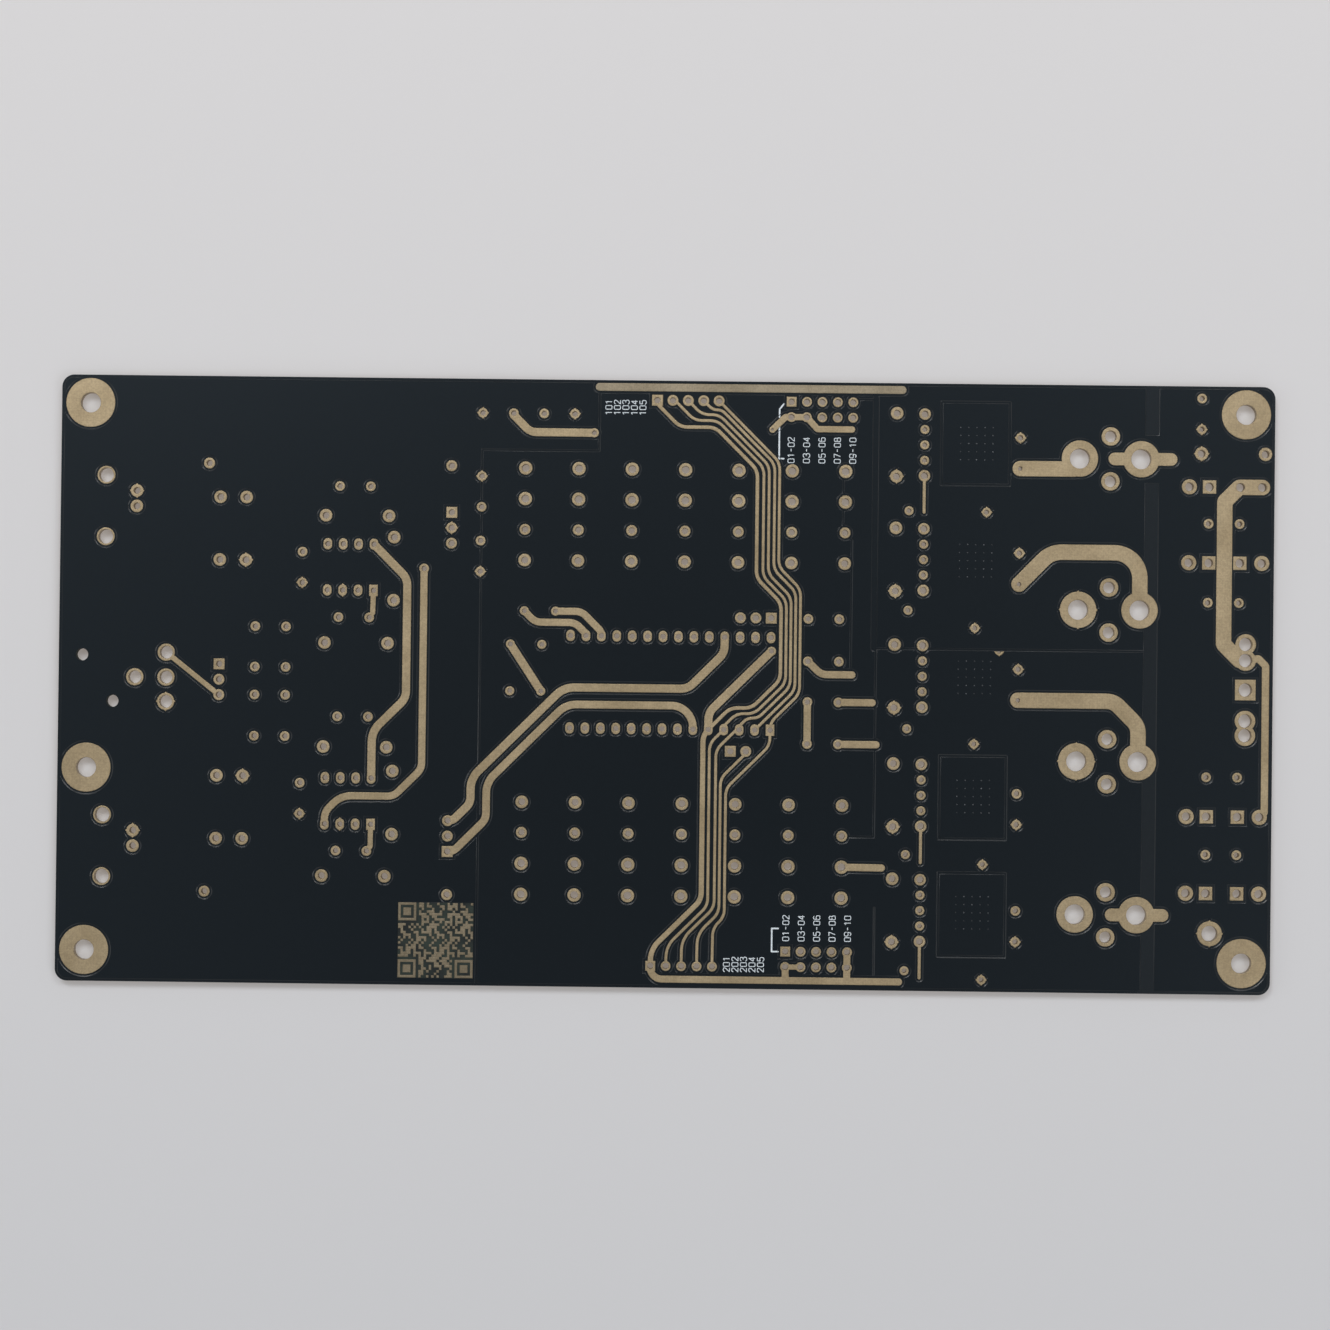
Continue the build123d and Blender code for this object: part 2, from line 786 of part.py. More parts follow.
def pour_grooves():
    """Places where the pour is left out, between its areas."""
    return [
        groove((69.5, -1.0), (69.5, 88.3), (88.8, 88.3), (88.8, 101.0)),
        groove((131.7, 97.25), (134.2, 97.25)),
        groove((134.35, 97.5), (134.35, 56.25), width=1.1),
        groove((134.35, 56.25), (179.0, 56.25)),
        groove((134.7, 56.25), (134.7, 25.2), (130.7, 25.2)),
        groove((134.9, 13.6), (134.9, 2.6)),
        groove((130.6, 91.8), (130.6, 86.0), (129.1, 84.5), (129.1, 75.5), (130.6, 74.0), (130.6, 52.3)),
        strip(178.65, -1.0, inner_edge, 84.0),
        strip(178.65, 91.8, inner_edge, 101.0),
        box_groove(145.15, 83.35, 156.4, 97.0),
        box_groove(145.35, 25.05, 156.35, 38.75),
        box_groove(145.35, 5.75, 156.4, 19.5),
    ]


def half_masked_via():
    """The via at the edge of the pour, and the area of it that the front mask leaves bare."""
    via = Pad(spot(155.0, 56.1), VIA, "spoked")
    bare = strip(150.0, 50.0, 160.0, 56.0)
    return via, via.face(mask_gap) & bare


def half_masked_pad():
    via, opening = half_masked_via()
    bore = via.bore()
    front = (via.face() & opening) - bore
    layers = [
        Pos(0, 0, back_copper) * extrude(via.face() - bore, copper_thickness),
        Pos(0, 0, film_thickness) * extrude(via.bore(plating) - bore, laminate_thickness),
        Pos(0, 0, laminate_top) * extrude(front, copper_thickness),
    ]
    return Part() + layers


def patch_field(grow=0.0):
    side = patch_size + 2 * grow
    return at(spot(62.75, 7.38), Rectangle(side, side))


def is_set(column, line):
    """A scatter of modules that stands for no text."""
    return (3 * column * column + 5 * line * line + 7 * column * line + line // 3) % 13 % 2 == 0


def in_finder(column, line):
    """Whether a module lies in a corner that has a finder square, or in the gap round it."""
    edge = finder_modules + 1
    low, left = line < edge, column < edge
    high, far = line >= patch_modules - edge, column >= patch_modules - edge
    return (left and (low or high)) or (far and low)


def finder_square(column, line, module):
    """A square ring, one module wide, with a square core."""
    centre = right((column + finder_modules / 2) * module) + up((line + finder_modules / 2) * module)
    outer = finder_modules * module
    inner = outer - 2 * finder_ring * module
    core = finder_core * module
    ring = Rectangle(outer, outer) - Rectangle(inner, inner)
    return at(centre, ring), at(centre, Rectangle(core, core))


def module_runs():
    """The first column, the line and the length of each run of set modules."""
    runs = []
    for line in range(patch_modules):
        length = 0
        for column in range(patch_modules + 1):
            if column < patch_modules and is_set(column, line) and not in_finder(column, line):
                length += 1
            elif length:
                runs.append((column - length, line, length))
                length = 0
    return runs


def code_patch():
    """A square of small copper modules with a finder square in three corners."""
    module = patch_size / patch_modules
    last = patch_modules - finder_modules
    faces = []
    for column, line in ((0, 0), (0, last), (last, 0)):
        faces += finder_square(column, line, module)
    for column, line, length in module_runs():
        centre = right((column + length / 2) * module) + up((line + 0.5) * module)
        faces.append(at(centre, Rectangle(length * module - patch_gap, module - patch_gap)))
    corner = spot(62.75, 7.38) - right(patch_size / 2) - up(patch_size / 2)
    solids = [extrude(face, copper_thickness) for face in faces]
    return Pos(corner.X, corner.Y, laminate_top) * Compound(solids)


def laminate(bores):
    return Pos(0, 0, film_thickness) * extrude(outline() - bores, laminate_thickness)


def back_solder_mask(openings):
    return extrude(outline() - openings, film_thickness)


def front_solder_mask(openings, raised):
    """A thin film on the laminate, and the thicker areas where it covers the pour."""
    film = extrude(outline() - openings, mask_thickness)
    plateaus = [Pos(0, 0, mask_thickness) * extrude(face, copper_thickness) for face in raised]
    return Pos(0, 0, laminate_top) * (Part() + [film, *plateaus])


def raised_areas(copper, openings):
    """The areas of the front mask over the pour."""
    gaps = [pad.clearance() for pads, _ in copper for pad in pads]
    gaps += [track.face(pour_gap) for _, tracks in copper for track in tracks]
    field = outline(pour_inset) - gaps - pour_grooves() - openings
    return keep_large(field, 0.5)


def legend_print(openings, raised):
    """Two brackets beside the bus headers, which step down where the film does."""
    lines = [
        groove((119.17, 96.4), (118.44, 95.5), (118.44, 94.2), width=bracket_width),
        groove((118.44, 92.5), (118.44, 87.35), (119.2, 87.35), width=bracket_width),
        groove((119.15, 10.0), (118.1, 10.0), (118.1, 6.2), (119.15, 6.2), width=bracket_width),
    ]
    marks = Sketch() + lines - openings
    high = keep_large(marks & (Sketch() + raised), 0.01)
    low = keep_large(marks - raised, 0.01)
    solids = [Pos(0, 0, pour_top) * extrude(face, legend_thickness) for face in high]
    solids += [Pos(0, 0, film_top) * extrude(face, legend_thickness) for face in low]
    return Compound(solids)


def build():
    """Every node of the board by name."""
    copper = all_copper()
    pads = [pad for group, _ in copper.values() for pad in group]
    tracks = [track for _, group in copper.values() for track in group]
    via, half_opening = half_masked_via()
    pegs = locating_holes(mask_gap)
    pad_openings = [pad.face(mask_gap) for pad in pads]
    track_openings = [track.face(mask_gap) for track in tracks]
    front_openings = pad_openings + track_openings + [half_opening, patch_field(mask_gap), *pegs]
    openings = (Sketch() + front_openings).faces()
    raised = raised_areas(copper.values(), openings)
    back_openings = (Sketch() + pad_openings + [via.face(mask_gap), *pegs]).faces()
    bores = [pad.bore(plating) for pad in [*pads, via]] + locating_holes()
    nodes = {
        "laminate": laminate(bores),
        "front_solder_mask": front_solder_mask(openings, raised),
        "back_solder_mask": back_solder_mask(back_openings),
        "code_patch": code_patch(),
        "half_masked_pad": half_masked_pad(),
        "legend_print": legend_print(openings, raised),
    }
    for name, (group_pads, group_tracks) in copper.items():
        nodes[name] = copper_solids(group_pads, group_tracks)
    return nodes


os.makedirs("parts", exist_ok=True)
for name, solid in build().items():
    export_step(solid, f"parts/{name}.step")
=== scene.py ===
import bpy
from math import pi, radians
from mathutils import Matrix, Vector


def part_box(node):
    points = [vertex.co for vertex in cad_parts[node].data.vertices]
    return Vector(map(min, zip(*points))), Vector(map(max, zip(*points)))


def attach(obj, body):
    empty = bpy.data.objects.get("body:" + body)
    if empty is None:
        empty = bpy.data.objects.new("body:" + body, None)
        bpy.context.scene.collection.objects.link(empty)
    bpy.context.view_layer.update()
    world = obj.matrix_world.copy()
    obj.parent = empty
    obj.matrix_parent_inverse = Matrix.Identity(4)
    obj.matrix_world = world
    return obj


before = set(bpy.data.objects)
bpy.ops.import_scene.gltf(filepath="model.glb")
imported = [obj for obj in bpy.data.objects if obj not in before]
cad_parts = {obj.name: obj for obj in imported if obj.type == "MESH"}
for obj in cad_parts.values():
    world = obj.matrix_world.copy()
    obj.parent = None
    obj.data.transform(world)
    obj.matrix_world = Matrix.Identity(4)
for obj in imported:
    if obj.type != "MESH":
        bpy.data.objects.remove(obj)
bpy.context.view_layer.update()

bpy.context.scene.view_settings.view_transform = "Standard"
bpy.ops.object.select_all(action="DESELECT")

# ---- Stage ----
# A pale matt sheet that the board lies on. It rises in a cove to a low wall all round, so that any
# low view of the board has the same plain ground behind it. The top is open.
bpy.ops.mesh.primitive_circle_add(vertices=128, radius=1.3, fill_type="NGON", location=(0, 0, -0.0003))
ground = bpy.context.object
ground.name = "pale_ground"
bpy.ops.object.mode_set(mode="EDIT")
bpy.ops.mesh.select_all(action="SELECT")
for rise, spread in ((0.02, 1.06), (0.06, 1.04), (0.10, 1.02), (0.55, 1.0)):
    bpy.ops.mesh.extrude_region_move(TRANSFORM_OT_translate={"value": (0, 0, rise)})
    bpy.ops.transform.resize(value=(spread, spread, 1))
bpy.ops.mesh.delete(type="ONLY_FACE")
bpy.ops.mesh.select_all(action="SELECT")
bpy.ops.mesh.normals_make_consistent(inside=True)
bpy.ops.object.mode_set(mode="OBJECT")
bpy.ops.object.transform_apply(location=True, rotation=True, scale=True)
bpy.ops.object.shade_smooth_by_angle(angle=radians(30))

# The sheet glows a little where the camera sees it, and more behind the board than before it. This glow is
# painted light, for the brighter floor behind the board and, by its warmth, for the light that the gilt
# hole walls throw on the sheet seen through the holes; the sheet's bluer base colour keeps the open sheet
# grey.
glow_reach = 0.12
near_glow, far_glow = 0.17, 0.265
paper = bpy.data.materials.new("pale_paper")
paper.use_nodes = True
tree = paper.node_tree
shader = tree.nodes["Principled BSDF"]
shader.inputs["Base Color"].default_value = (0.43, 0.453, 0.485, 1)
shader.inputs["Roughness"].default_value = 0.9
shader.inputs["Specular IOR Level"].default_value = 0.1
shader.inputs["Emission Color"].default_value = (1.0, 0.85, 0.73, 1)
path = tree.nodes.new("ShaderNodeLightPath")
seen = tree.nodes.new("ShaderNodeMath")
seen.operation = "MAXIMUM"
place = tree.nodes.new("ShaderNodeTexCoord")
across = tree.nodes.new("ShaderNodeSeparateXYZ")
fade = tree.nodes.new("ShaderNodeMapRange")
fade.inputs["From Min"].default_value = -glow_reach
fade.inputs["From Max"].default_value = glow_reach
fade.inputs["To Min"].default_value = near_glow
fade.inputs["To Max"].default_value = far_glow
glow = tree.nodes.new("ShaderNodeMath")
glow.operation = "MULTIPLY"
tree.links.new(path.outputs["Is Camera Ray"], seen.inputs[0])
tree.links.new(path.outputs["Is Glossy Ray"], seen.inputs[1])
tree.links.new(place.outputs["Object"], across.inputs["Vector"])
tree.links.new(across.outputs["Y"], fade.inputs["Value"])
tree.links.new(seen.outputs[0], glow.inputs[0])
tree.links.new(fade.outputs["Result"], glow.inputs[1])
tree.links.new(glow.outputs[0], shader.inputs["Emission Strength"])
ground.data.materials.append(paper)

# ---- Light and camera ----
# Soft lamps stand round the board, the strongest two behind its far corners. The ceiling is a ring of
# light round a dark middle, where the camera hangs half a metre up and looks straight down.
lamps = (
    ("key_softbox", (-0.45, 0.80, 1.40), 0.6, 9.5),
    ("back_softbox", (0.50, 0.80, 1.40), 0.6, 6.0),
    ("left_softbox", (-1.1, -0.1, 0.7), 0.9, 1.8),
    ("right_softbox", (0.9, -0.45, 1.2), 0.6, 3.5),
    ("front_softbox", (0.2, -1.1, 0.8), 0.9, 1.0),
)
for name, place, width, power in lamps:
    bpy.ops.object.light_add(type="AREA", location=place)
    lamp = bpy.context.object
    lamp.name = name
    lamp.data.shape = "DISK"
    lamp.data.size = width
    lamp.data.energy = power
    lamp.rotation_euler = (-Vector(place)).to_track_quat("-Z", "Y").to_euler()

# The light of the ceiling by height, from the horizon at 0 to straight up at 1.
ceiling_light = ((0.0, 0.20), (0.80, 0.20), (0.935, 0.75), (0.972, 0.70), (0.998, 0.05))
ceiling = bpy.data.worlds.new("ring_ceiling")
bpy.context.scene.world = ceiling
ceiling.use_nodes = True
tree = ceiling.node_tree
direction = tree.nodes.new("ShaderNodeTexCoord")
height = tree.nodes.new("ShaderNodeSeparateXYZ")
ring = tree.nodes.new("ShaderNodeValToRGB")
stops = ring.color_ramp.elements
stops[0].position, stops[-1].position = ceiling_light[0][0], ceiling_light[-1][0]
for rise, light in ceiling_light[1:-1]:
    stops.new(rise)
for stop, (rise, light) in zip(stops, ceiling_light):
    stop.color = (light, light, light, 1)
tree.links.new(direction.outputs["Generated"], height.inputs["Vector"])
tree.links.new(height.outputs["Z"], ring.inputs["Fac"])
tree.links.new(ring.outputs["Color"], tree.nodes["Background"].inputs["Strength"])
tree.nodes["Background"].inputs["Color"].default_value = (0.90, 0.95, 1.0, 1)

bpy.ops.object.camera_add(location=(0.00424, -0.00135, 0.5))
camera = bpy.context.object
camera.name = "overhead_camera"
camera.rotation_euler = (radians(0.521), radians(0.4775), radians(0.661))
camera.data.lens = 81.92
camera.data.sensor_width = 36
camera.data.clip_start = 0.01
bpy.context.scene.camera = camera

# ---- Laminate ----
# Woven glass cloth in dark epoxy resin, pressed from seven plies and routed to size. It shows at the
# cut edge, in the two bare peg holes, and between the copper squares of the code patch.
board_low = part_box("laminate")[0]

def new_material(name, roughness, metallic=0.0):
    """A principled material, with its node tree and its shader."""
    made = bpy.data.materials.new(name)
    made.use_nodes = True
    principled = made.node_tree.nodes["Principled BSDF"]
    principled.inputs["Roughness"].default_value = roughness
    principled.inputs["Metallic"].default_value = metallic
    return made, made.node_tree, principled

def place_noise(tree, scale, detail=2.0, stretch=(1, 1, 1)):
    """Noise on the object's own coordinates, in features per metre."""
    place = tree.nodes.new("ShaderNodeTexCoord")
    mapping = tree.nodes.new("ShaderNodeMapping")
    mapping.inputs["Scale"].default_value = stretch
    noise = tree.nodes.new("ShaderNodeTexNoise")
    noise.inputs["Scale"].default_value = scale
    noise.inputs["Detail"].default_value = detail
    tree.links.new(place.outputs["Object"], mapping.inputs["Vector"])
    tree.links.new(mapping.outputs["Vector"], noise.inputs["Vector"])
    return noise.outputs["Fac"]

def colour_between(tree, factor, low, high, start=0.35, end=0.65):
    """A colour that runs from low to high as the factor runs from start to end."""
    ramp = tree.nodes.new("ShaderNodeValToRGB")
    ramp.color_ramp.elements[0].position = start
    ramp.color_ramp.elements[0].color = (*low, 1)
    ramp.color_ramp.elements[1].position = end
    ramp.color_ramp.elements[1].color = (*high, 1)
    tree.links.new(factor, ramp.inputs["Fac"])
    return ramp.outputs["Color"]

def value_between(tree, factor, low, high):
    """A number that runs from low to high as the factor runs over the middle of its range."""
    spread = tree.nodes.new("ShaderNodeMapRange")
    spread.inputs["From Min"].default_value = 0.3
    spread.inputs["From Max"].default_value = 0.7
    spread.inputs["To Min"].default_value = low
    spread.inputs["To Max"].default_value = high
    tree.links.new(factor, spread.inputs["Value"])
    return spread.outputs["Result"]

def add_bump(tree, principled, height, distance, under=None):
    """A bump of the given height in metres, over an earlier one if there is one."""
    bump = tree.nodes.new("ShaderNodeBump")
    bump.inputs["Distance"].default_value = distance
    tree.links.new(height, bump.inputs["Height"])
    if under:
        tree.links.new(under, bump.inputs["Normal"])
    tree.links.new(bump.outputs["Normal"], principled.inputs["Normal"])
    return bump.outputs["Normal"]

def dress(piece, finish):
    """Give a piece this material alone."""
    piece.data.materials.clear()
    piece.data.materials.append(finish)

glass_cloth, tree, shader = new_material("glass_cloth", 0.6)
fibres = place_noise(tree, 900, 3.0, (0.35, 0.35, 9.0))
shade = colour_between(tree, fibres, (0.0045, 0.0075, 0.0075), (0.0200, 0.0300, 0.0220))
tree.links.new(shade, shader.inputs["Base Color"])
shader.inputs["Specular IOR Level"].default_value = 0.3
add_bump(tree, shader, fibres, 0.00002)
dress(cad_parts["laminate"], glass_cloth)

# ---- Solder masks ----
# A blue-black lacquer, printed over both faces and cured. It is satin, with the faintest grid where the
# weave of the cloth shows through. It is a little greyer where it lies on the bare laminate, which is
# lower than the copper pour by film_step, and greyest in the wide strip near the right end. Left of that
# strip the low film is painted darker than in the strip, as painted shade in the narrow gaps round the
# pads.
cloth_pitch = 0.0004
pour_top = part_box("front_solder_mask")[1].z
film_step = 0.00007

def cloth_grid(tree):
    """The height of the weave, as the sum of two crossed waves."""
    place = tree.nodes.new("ShaderNodeTexCoord")
    total = tree.nodes.new("ShaderNodeMath")
    for index, along in enumerate(("X", "Y")):
        wave = tree.nodes.new("ShaderNodeTexWave")
        wave.bands_direction = along
        wave.inputs["Scale"].default_value = 2 * pi / (20 * cloth_pitch)
        tree.links.new(place.outputs["Object"], wave.inputs["Vector"])
        tree.links.new(wave.outputs["Fac"], total.inputs[index])
    return total.outputs[0]

def mottled(tree, colour, factor, depth):
    """A colour made lighter and darker by up to the given share."""
    tint = tree.nodes.new("ShaderNodeMixRGB")
    tint.blend_type = "MULTIPLY"
    tint.inputs["Fac"].default_value = 1
    tree.links.new(colour, tint.inputs["Color1"])
    low, high = 1 - depth, 1 + depth
    tree.links.new(colour_between(tree, factor, (low, low, low), (high, high, high)), tint.inputs["Color2"])
    return tint.outputs["Color"]

over_copper = (0.0022, 0.0033, 0.0044, 1)
# Painted shade: the low film left of the end strip is darker than in the strip, for the shade in the gaps
# round the pads.
over_laminate_and_shade = (0.0036, 0.0046, 0.0056, 1)
over_end_strip = (0.0078, 0.0088, 0.0098, 1)
strip_edge = 0.0782
strip_fade = 0.0003
lacquer, tree, shader = new_material("black_lacquer", 0.30)
place = tree.nodes.new("ShaderNodeTexCoord")
level = tree.nodes.new("ShaderNodeSeparateXYZ")
tree.links.new(place.outputs["Object"], level.inputs["Vector"])
beyond = tree.nodes.new("ShaderNodeMapRange")
beyond.inputs["From Min"].default_value = strip_edge
beyond.inputs["From Max"].default_value = strip_edge + strip_fade
tree.links.new(level.outputs["X"], beyond.inputs["Value"])
low_film = tree.nodes.new("ShaderNodeMixRGB")
low_film.inputs["Color1"].default_value = over_laminate_and_shade
low_film.inputs["Color2"].default_value = over_end_strip
tree.links.new(beyond.outputs["Result"], low_film.inputs["Fac"])
raised = tree.nodes.new("ShaderNodeMapRange")
raised.inputs["From Min"].default_value = pour_top - 0.00004
raised.inputs["From Max"].default_value = pour_top - 0.00001
tree.links.new(level.outputs["Z"], raised.inputs["Value"])
any_film = tree.nodes.new("ShaderNodeMixRGB")
any_film.inputs["Color2"].default_value = over_copper
tree.links.new(raised.outputs["Result"], any_film.inputs["Fac"])
tree.links.new(low_film.outputs["Color"], any_film.inputs["Color1"])
shade = mottled(tree, any_film.outputs["Color"], place_noise(tree, 1500, 3.0), 0.07)
tree.links.new(shade, shader.inputs["Base Color"])
shader.inputs["Specular IOR Level"].default_value = 0.31
shader.inputs["Specular Tint"].default_value = (0.72, 0.87, 1.0, 1)
weave = add_bump(tree, shader, cloth_grid(tree), 0.0000004)
add_bump(tree, shader, place_noise(tree, 2600), 0.000004, weave)
for name in ("front_solder_mask", "back_solder_mask"):
    dress(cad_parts[name], lacquer)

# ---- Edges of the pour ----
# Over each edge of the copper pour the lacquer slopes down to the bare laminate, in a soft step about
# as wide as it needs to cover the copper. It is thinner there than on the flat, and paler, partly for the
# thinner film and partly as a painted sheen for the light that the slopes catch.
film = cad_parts["front_solder_mask"]
slack = 0.000002
# How far down each corner of the slope lies, as a share of its drop, and how far out it goes there.
slope_steps = ((0.22, 0.00005), (0.78, 0.00005), (1.0, 0.00006))
slopes = film.copy()
slopes.data = film.data.copy()
slopes.name = "mask_slopes"
bpy.context.collection.objects.link(slopes)
slopes.select_set(True)
bpy.context.view_layer.objects.active = slopes
bpy.ops.object.mode_set(mode="EDIT")
bpy.ops.mesh.select_all(action="SELECT")
bpy.ops.mesh.remove_doubles(threshold=slack)
bpy.ops.mesh.select_mode(type="FACE")
bpy.ops.mesh.select_all(action="DESELECT")
bpy.ops.object.mode_set(mode="OBJECT")
for face in slopes.data.polygons:
    lowest = min(slopes.data.vertices[corner].co.z for corner in face.vertices)
    face.select = abs(face.normal.z) > 0.5 or lowest < pour_top - film_step - slack
bpy.ops.object.mode_set(mode="EDIT")
bpy.ops.mesh.delete(type="FACE")
for drop, reach in slope_steps[:-1]:
    bpy.ops.mesh.select_all(action="SELECT")
    cut = (0, 0, pour_top - drop * film_step)
    bpy.ops.mesh.bisect(plane_co=cut, plane_no=(0, 0, 1), threshold=0.000001)
bpy.ops.mesh.select_mode(type="VERT")
for drop, reach in slope_steps:
    bpy.ops.mesh.select_all(action="DESELECT")
    bpy.ops.object.mode_set(mode="OBJECT")
    for corner in slopes.data.vertices:
        corner.select = corner.co.z < pour_top - drop * film_step + slack
    bpy.ops.object.mode_set(mode="EDIT")
    bpy.ops.transform.shrink_fatten(value=reach)
bpy.ops.object.mode_set(mode="OBJECT")
bpy.ops.object.shade_smooth_by_angle(angle=radians(50))

# Painted sheen: the slopes are paler than the flat lacquer, partly for the thinner film and partly for the
# light they catch.
thin_lacquer_and_sheen, tree, shader = new_material("thin_lacquer_and_sheen", 0.30)
shade = colour_between(tree, place_noise(tree, 900), (0.0060, 0.0085, 0.0105), (0.0085, 0.0115, 0.0140))
tree.links.new(shade, shader.inputs["Base Color"])
shader.inputs["Specular IOR Level"].default_value = 0.45
dress(slopes, thin_lacquer_and_sheen)
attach(slopes, "root")
slopes.select_set(False)

# ---- Tented vias ----
# Five fields of small vias lie under the power pads of the output stages. Each is closed by the mask,
# which dries as a low bead over the hole. The beads are painted a paler grey, some more than others, as a
# painted glint where each bead catches the light.
bead_radius = 0.00011
bead_height = 0.000015
bead_pitch = 0.00133
field_side = 5
field_left = 0.1483
field_feet = (0.0875, 0.0682, 0.0490, 0.0294, 0.0103)
beads = []
for field_foot in field_feet:
    for index in range(field_side * field_side):
        x = board_low.x + field_left + bead_pitch * (index % field_side)
        y = board_low.y + field_foot + bead_pitch * (index // field_side)
        bpy.ops.mesh.primitive_uv_sphere_add(segments=10, ring_count=6, radius=bead_radius)
        bead = bpy.context.object
        bead.scale.z = bead_height / bead_radius
        bead.location = (x, y, pour_top)
        bpy.ops.object.transform_apply(location=True, rotation=True, scale=True)
        bpy.ops.object.shade_smooth()
        beads.append(bead)
bpy.ops.object.select_all(action="DESELECT")
for bead in beads:
    bead.select_set(True)
bpy.ops.object.join()
tents = bpy.context.object
tents.name = "tented_vias"
# Painted glint: a pale grey that varies from bead to bead.
bead_lacquer_and_glint, tree, shader = new_material("bead_lacquer_and_glint", 0.3)
glint_paleness = place_noise(tree, 650, 1.0)
shade = colour_between(tree, glint_paleness, (0.007, 0.010, 0.013), (0.120, 0.130, 0.140), 0.45, 0.78)
tree.links.new(shade, shader.inputs["Base Color"])
dress(tents, bead_lacquer_and_glint)
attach(tents, "root")

# ---- Plated copper ----
# Pads, hole walls and bare tracks: etched copper with a thin coat of pale gold. The coat is satin and
# a little uneven, its edges are rounded, and the weave of the cloth shows as a faint grid. The small
# squares of the code patch are etched thinner, and their coat is duller. So is that of the long strip at
# the edge, where boards are handled.
def gilt_copper(name, low, high):
    """Satin gold over copper, between two linear colours."""
    gilt, tree, shader = new_material(name, 0.40, 0.6)
    shade = colour_between(tree, place_noise(tree, 160, 3.0), low, high)
    shade = mottled(tree, shade, cloth_grid(tree), 0.035)
    shade = mottled(tree, shade, place_noise(tree, 3500, 3.0), 0.12)
    tree.links.new(shade, shader.inputs["Base Color"])
    tree.links.new(value_between(tree, place_noise(tree, 500), 0.36, 0.44), shader.inputs["Roughness"])
    rounding = tree.nodes.new("ShaderNodeBevel")
    rounding.samples = 4
    rounding.inputs["Radius"].default_value = 0.00017
    weave = add_bump(tree, shader, cloth_grid(tree), 0.0000008, rounding.outputs["Normal"])
    add_bump(tree, shader, place_noise(tree, 5200), 0.000004, weave)
    return gilt

pale_gilt = gilt_copper("pale_gilt_copper", (0.324, 0.246, 0.144), (0.386, 0.298, 0.180))
dull_gilt = gilt_copper("dull_gilt_copper", (0.188, 0.151, 0.097), (0.232, 0.188, 0.125))
handled_gilt = gilt_copper("handled_gilt_copper", (0.246, 0.200, 0.132), (0.300, 0.248, 0.170))
other_finish = {"code_patch": dull_gilt, "edge_ground_strip": handled_gilt}
boards = ("laminate", "front_solder_mask", "back_solder_mask", "legend_print")
for name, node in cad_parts.items():
    if name not in boards:
        dress(node, other_finish.get(name, pale_gilt))

# ---- Legend ----
# Two brackets beside the bus headers, each marking the row of its pins. They are of white epoxy ink,
# printed through a screen on the cured mask, matt and thinner in places.
ink, tree, shader = new_material("white_ink", 0.7)
shade = colour_between(tree, place_noise(tree, 3000), (0.52, 0.57, 0.61), (0.72, 0.77, 0.80), 0.3, 0.6)
tree.links.new(shade, shader.inputs["Base Color"])
dress(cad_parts["legend_print"], ink)

# ---- Pin numbers ----
# Plain numbers for the pins of the four bus headers, in the same white ink, drawn with a round line.
# Each reads upwards from its foot. The rows of five stand beside their headers, and the pairs stand in
# line with their pins. The pitch of the numerals is a share of their height.
numeral_height = 0.00103
numeral_pitch = 0.86
line_radius = 0.000075
ink_height = 0.00002
row_pitch = 0.0014
pin_pitch = 0.00254
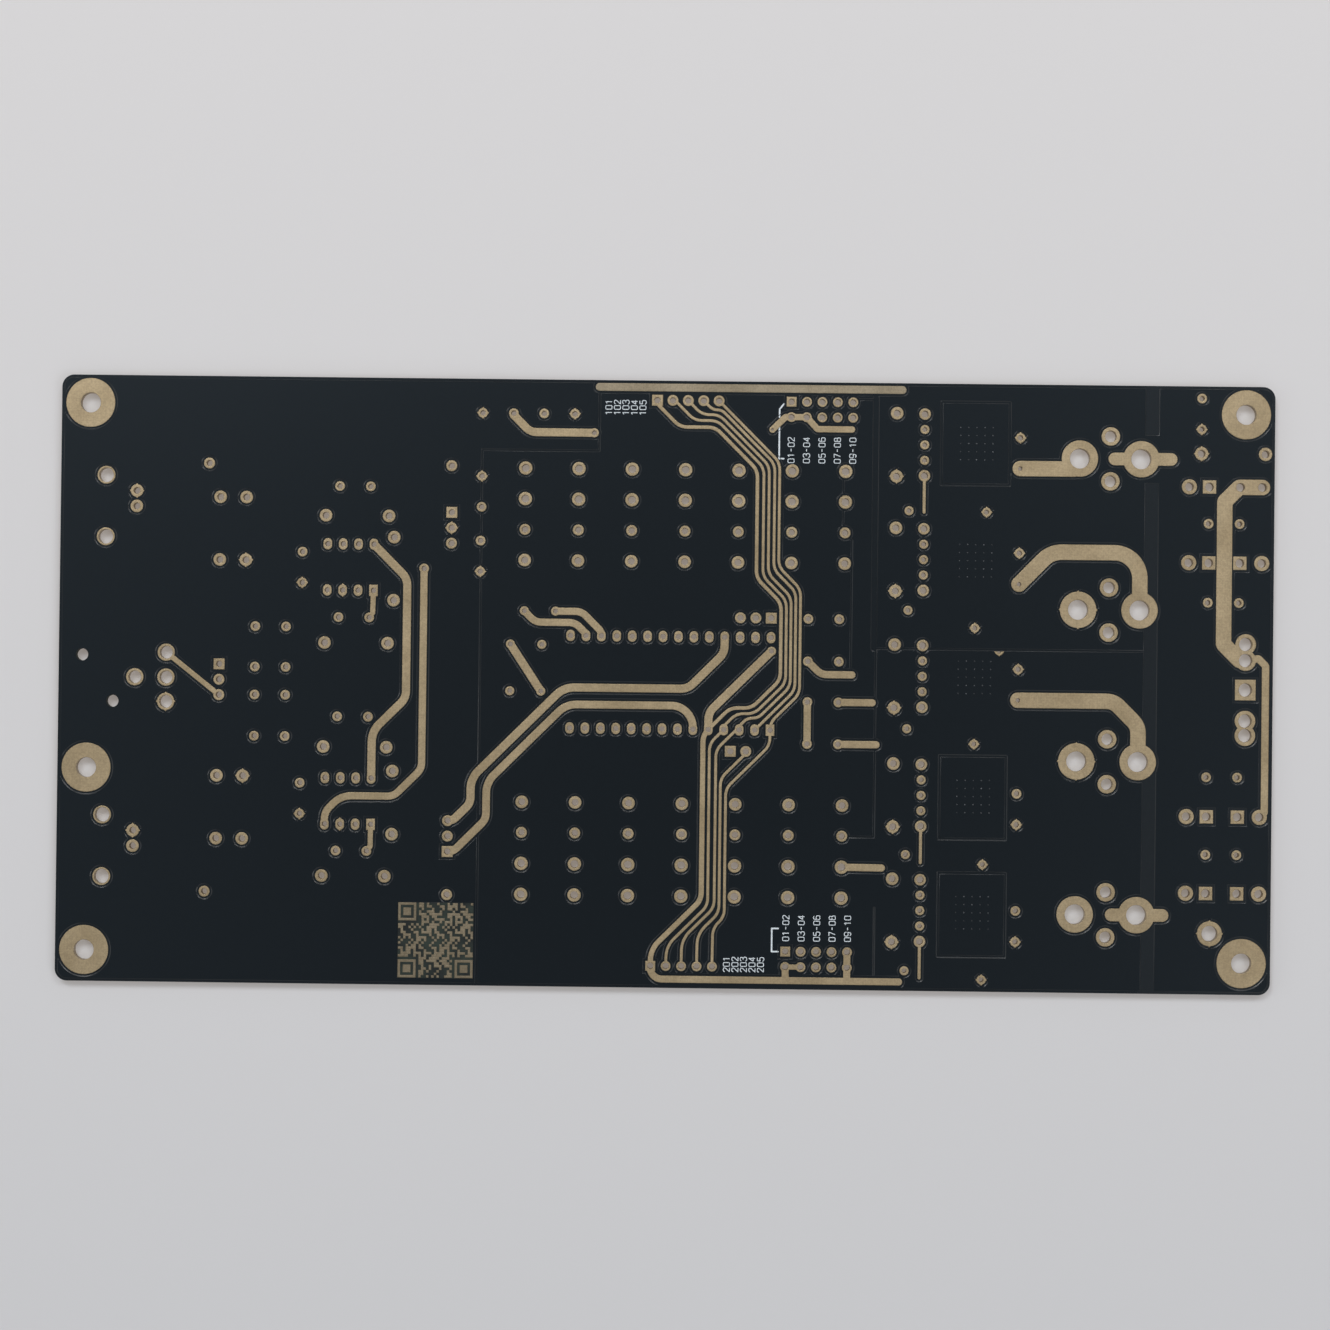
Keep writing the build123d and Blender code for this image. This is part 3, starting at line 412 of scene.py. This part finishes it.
# Each numeral is one or two lines in tenths of its height, and True closes the line on itself.
numerals = {
    "0": ((True, (0, 3), (0, 0), (6, 0), (6, 3), (6, 7), (6, 10), (0, 10), (0, 7)),),
    "1": ((False, (1, 8), (3.5, 10), (3.5, 10), (3.5, 0)),),
    "2": ((False, (0, 7.5), (0, 10), (6, 10), (6, 6.5), (3.2, 4), (0, 0), (0, 0), (6, 0)),),
    "3": (
        (False, (0, 8.4), (0.6, 10.2), (6, 10.5), (5.8, 5.3), (2, 5.3)),
        (False, (2, 5.3), (6.2, 5.6), (6.4, 0), (0.4, -0.6), (0, 1.8)),
    ),
    "4": ((False, (4.4, 0), (4.4, 10), (4.4, 10), (0, 3), (0, 3), (6, 3)),),
    "5": (
        (False, (5.6, 10), (0.8, 10), (0.8, 10), (0.4, 5.4), (0.4, 5.4)),
        (False, (0.4, 5.4), (6, 7.4), (6.2, -0.4), (0.4, -0.4), (0, 1.8)),
    ),
    "6": (
        (False, (5.2, 9.2), (4, 10.4), (0, 10.2), (0, 3)),
        (True, (0, 3), (0, 0), (6, 0), (6, 3), (6, 6), (0, 6)),
    ),
    "7": ((False, (0, 10), (6, 10), (6, 10), (2, 0)),),
    "8": (
        (True, (0.5, 7.6), (0.5, 5.3), (5.5, 5.3), (5.5, 7.6), (5.5, 10), (0.5, 10)),
        (True, (0, 2.6), (0, 0), (6, 0), (6, 2.6), (6, 5.3), (0, 5.3)),
    ),
    "9": (
        (False, (0.8, 0.8), (2, -0.4), (6, -0.2), (6, 7)),
        (True, (6, 7), (6, 10), (0, 10), (0, 7), (0, 4), (6, 4)),
    ),
    "-": ((False, (1, 5), (5, 5)),),
}

def add_number(drawing, text, x, foot):
    """The lines of one number, given by the middle of its width and by its foot."""
    for index, numeral in enumerate(text):
        for closed, *points in numerals[numeral]:
            line = drawing.splines.new("NURBS")
            line.points.add(len(points) - 1)
            for point, (across, height) in zip(line.points, points):
                along = (index * numeral_pitch + across / 10) * numeral_height
                left = (height / 10 - 0.5) * numeral_height
                point.co = (board_low.x + x - left, board_low.y + foot + along, 0, 1)
            line.use_cyclic_u = closed
            line.order_u = min(3, len(points))
            line.use_endpoint_u = not closed
            line.resolution_u = 3

drawing = bpy.data.curves.new("pin_numbers", "CURVE")
drawing.dimensions = "3D"
drawing.bevel_depth = line_radius
drawing.bevel_resolution = 1
drawing.use_fill_caps = True
for index in range(5):
    pair = f"{2 * index + 1:02}-{2 * index + 2:02}"
    add_number(drawing, f"10{index + 1}", 0.0903 + row_pitch * index, 0.0943)
    add_number(drawing, f"20{index + 1}", 0.1107 + row_pitch * index, 0.0028)
    add_number(drawing, pair, 0.1204 + pin_pitch * index, 0.0867)
    add_number(drawing, pair, 0.1204 + pin_pitch * index, 0.0080)
numbers = bpy.data.objects.new("pin_numbers", drawing)
bpy.context.collection.objects.link(numbers)
bpy.ops.object.select_all(action="DESELECT")
numbers.select_set(True)
bpy.context.view_layer.objects.active = numbers
bpy.ops.object.convert(target="MESH")
numbers = bpy.context.object
numbers.scale.z = ink_height / line_radius
numbers.location.z = pour_top
bpy.ops.object.transform_apply(location=True, rotation=True, scale=True)
dress(numbers, ink)
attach(numbers, "root")
